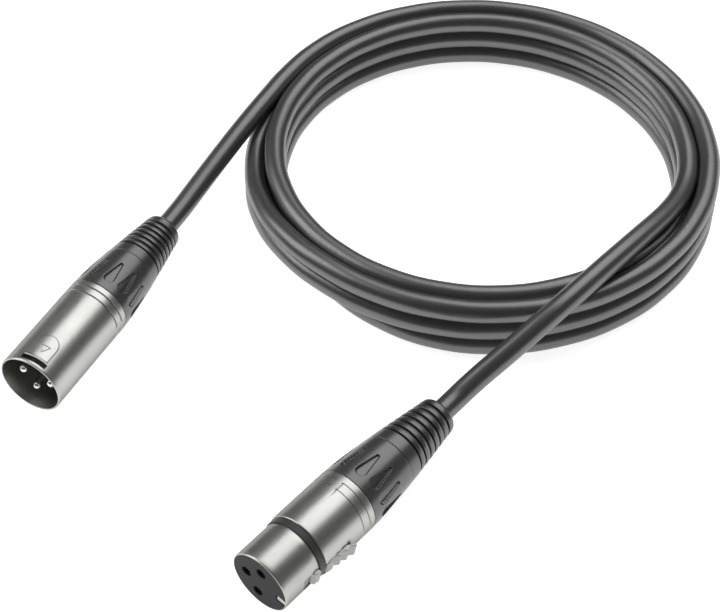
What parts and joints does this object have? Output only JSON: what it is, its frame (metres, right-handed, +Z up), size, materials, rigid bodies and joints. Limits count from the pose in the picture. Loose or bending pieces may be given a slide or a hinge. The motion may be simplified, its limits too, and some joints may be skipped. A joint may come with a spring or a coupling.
{
  "type": "xlr cable coil",
  "caption": "Coiled balanced audio cable with a male and a female three-pin connector, metal shells, ribbed boots and a press latch.",
  "frame": {"origin": "on the surface that the cable lies on, under the middle of the outline of coil and connectors together", "axes": "+Z up from the surface; the male connector's mouth faces -Y, the way its mate leaves; the coil lies towards +Y and the female connector towards +X"},
  "size_m": [0.1522, 0.2389, 0.0257],
  "materials": {
    "nickel_shell": "satin nickel plating with a fine lengthwise grain",
    "nickel_lever": "satin nickel plating, worn bright on the ridges",
    "contact_metal": "bright plated contact metal",
    "steel_small": "bright drawn steel",
    "black_plastic": "fine matt moulded surface",
    "black_bushing": "satin moulded plastic with recessed finger grips",
    "black_boot": "satin moulded rubber with ribs",
    "black_ring": "matt rubber",
    "white_plastic": "matt moulded plastic",
    "red_core": "smooth insulation",
    "white_core": "smooth insulation",
    "copper_wire": "bare stranded copper",
    "cable_jacket": "smooth satin flexible jacket"
  },
  "bodies": {
    "cable": {"male_shell": "nickel_shell", "male_insert": "black_plastic", "male_pin_1": "contact_metal", "male_pin_2": "contact_metal", "male_pin_3": "contact_metal", "male_core_hot": "red_core", "male_core_cold": "white_core", "male_drain_wire": "copper_wire", "male_cable_end": "cable_jacket", "male_chuck": "white_plastic", "male_bushing": "black_bushing", "male_boot": "black_boot", "female_shell": "nickel_shell", "female_ring": "black_ring", "female_insert": "black_plastic", "female_socket_1": "contact_metal", "female_socket_2": "contact_metal", "female_socket_3": "contact_metal", "latch_pin": "steel_small", "latch_spring": "steel_small", "female_core_hot": "red_core", "female_core_cold": "white_core", "female_drain_wire": "copper_wire", "female_cable_end": "cable_jacket", "female_chuck": "white_plastic", "female_bushing": "black_bushing", "female_boot": "black_boot", "male_lead": "cable_jacket", "cable_coil": "cable_jacket", "female_lead": "cable_jacket"},
    "latch": {"latch_lever": "nickel_lever"}
  },
  "joints": [
    {"name": "latch_press", "type": "hinge", "parent": "cable", "child": "latch", "pos_m": [0.03373, -0.09346, 0.00818], "axis": [-0.1692, 0.0391, -0.9848], "range_deg": [0, 4.5], "stiffness_Nm_per_rad": 0.3, "springref_deg": -3.44, "deforming": ["latch_spring"]}
  ]
}
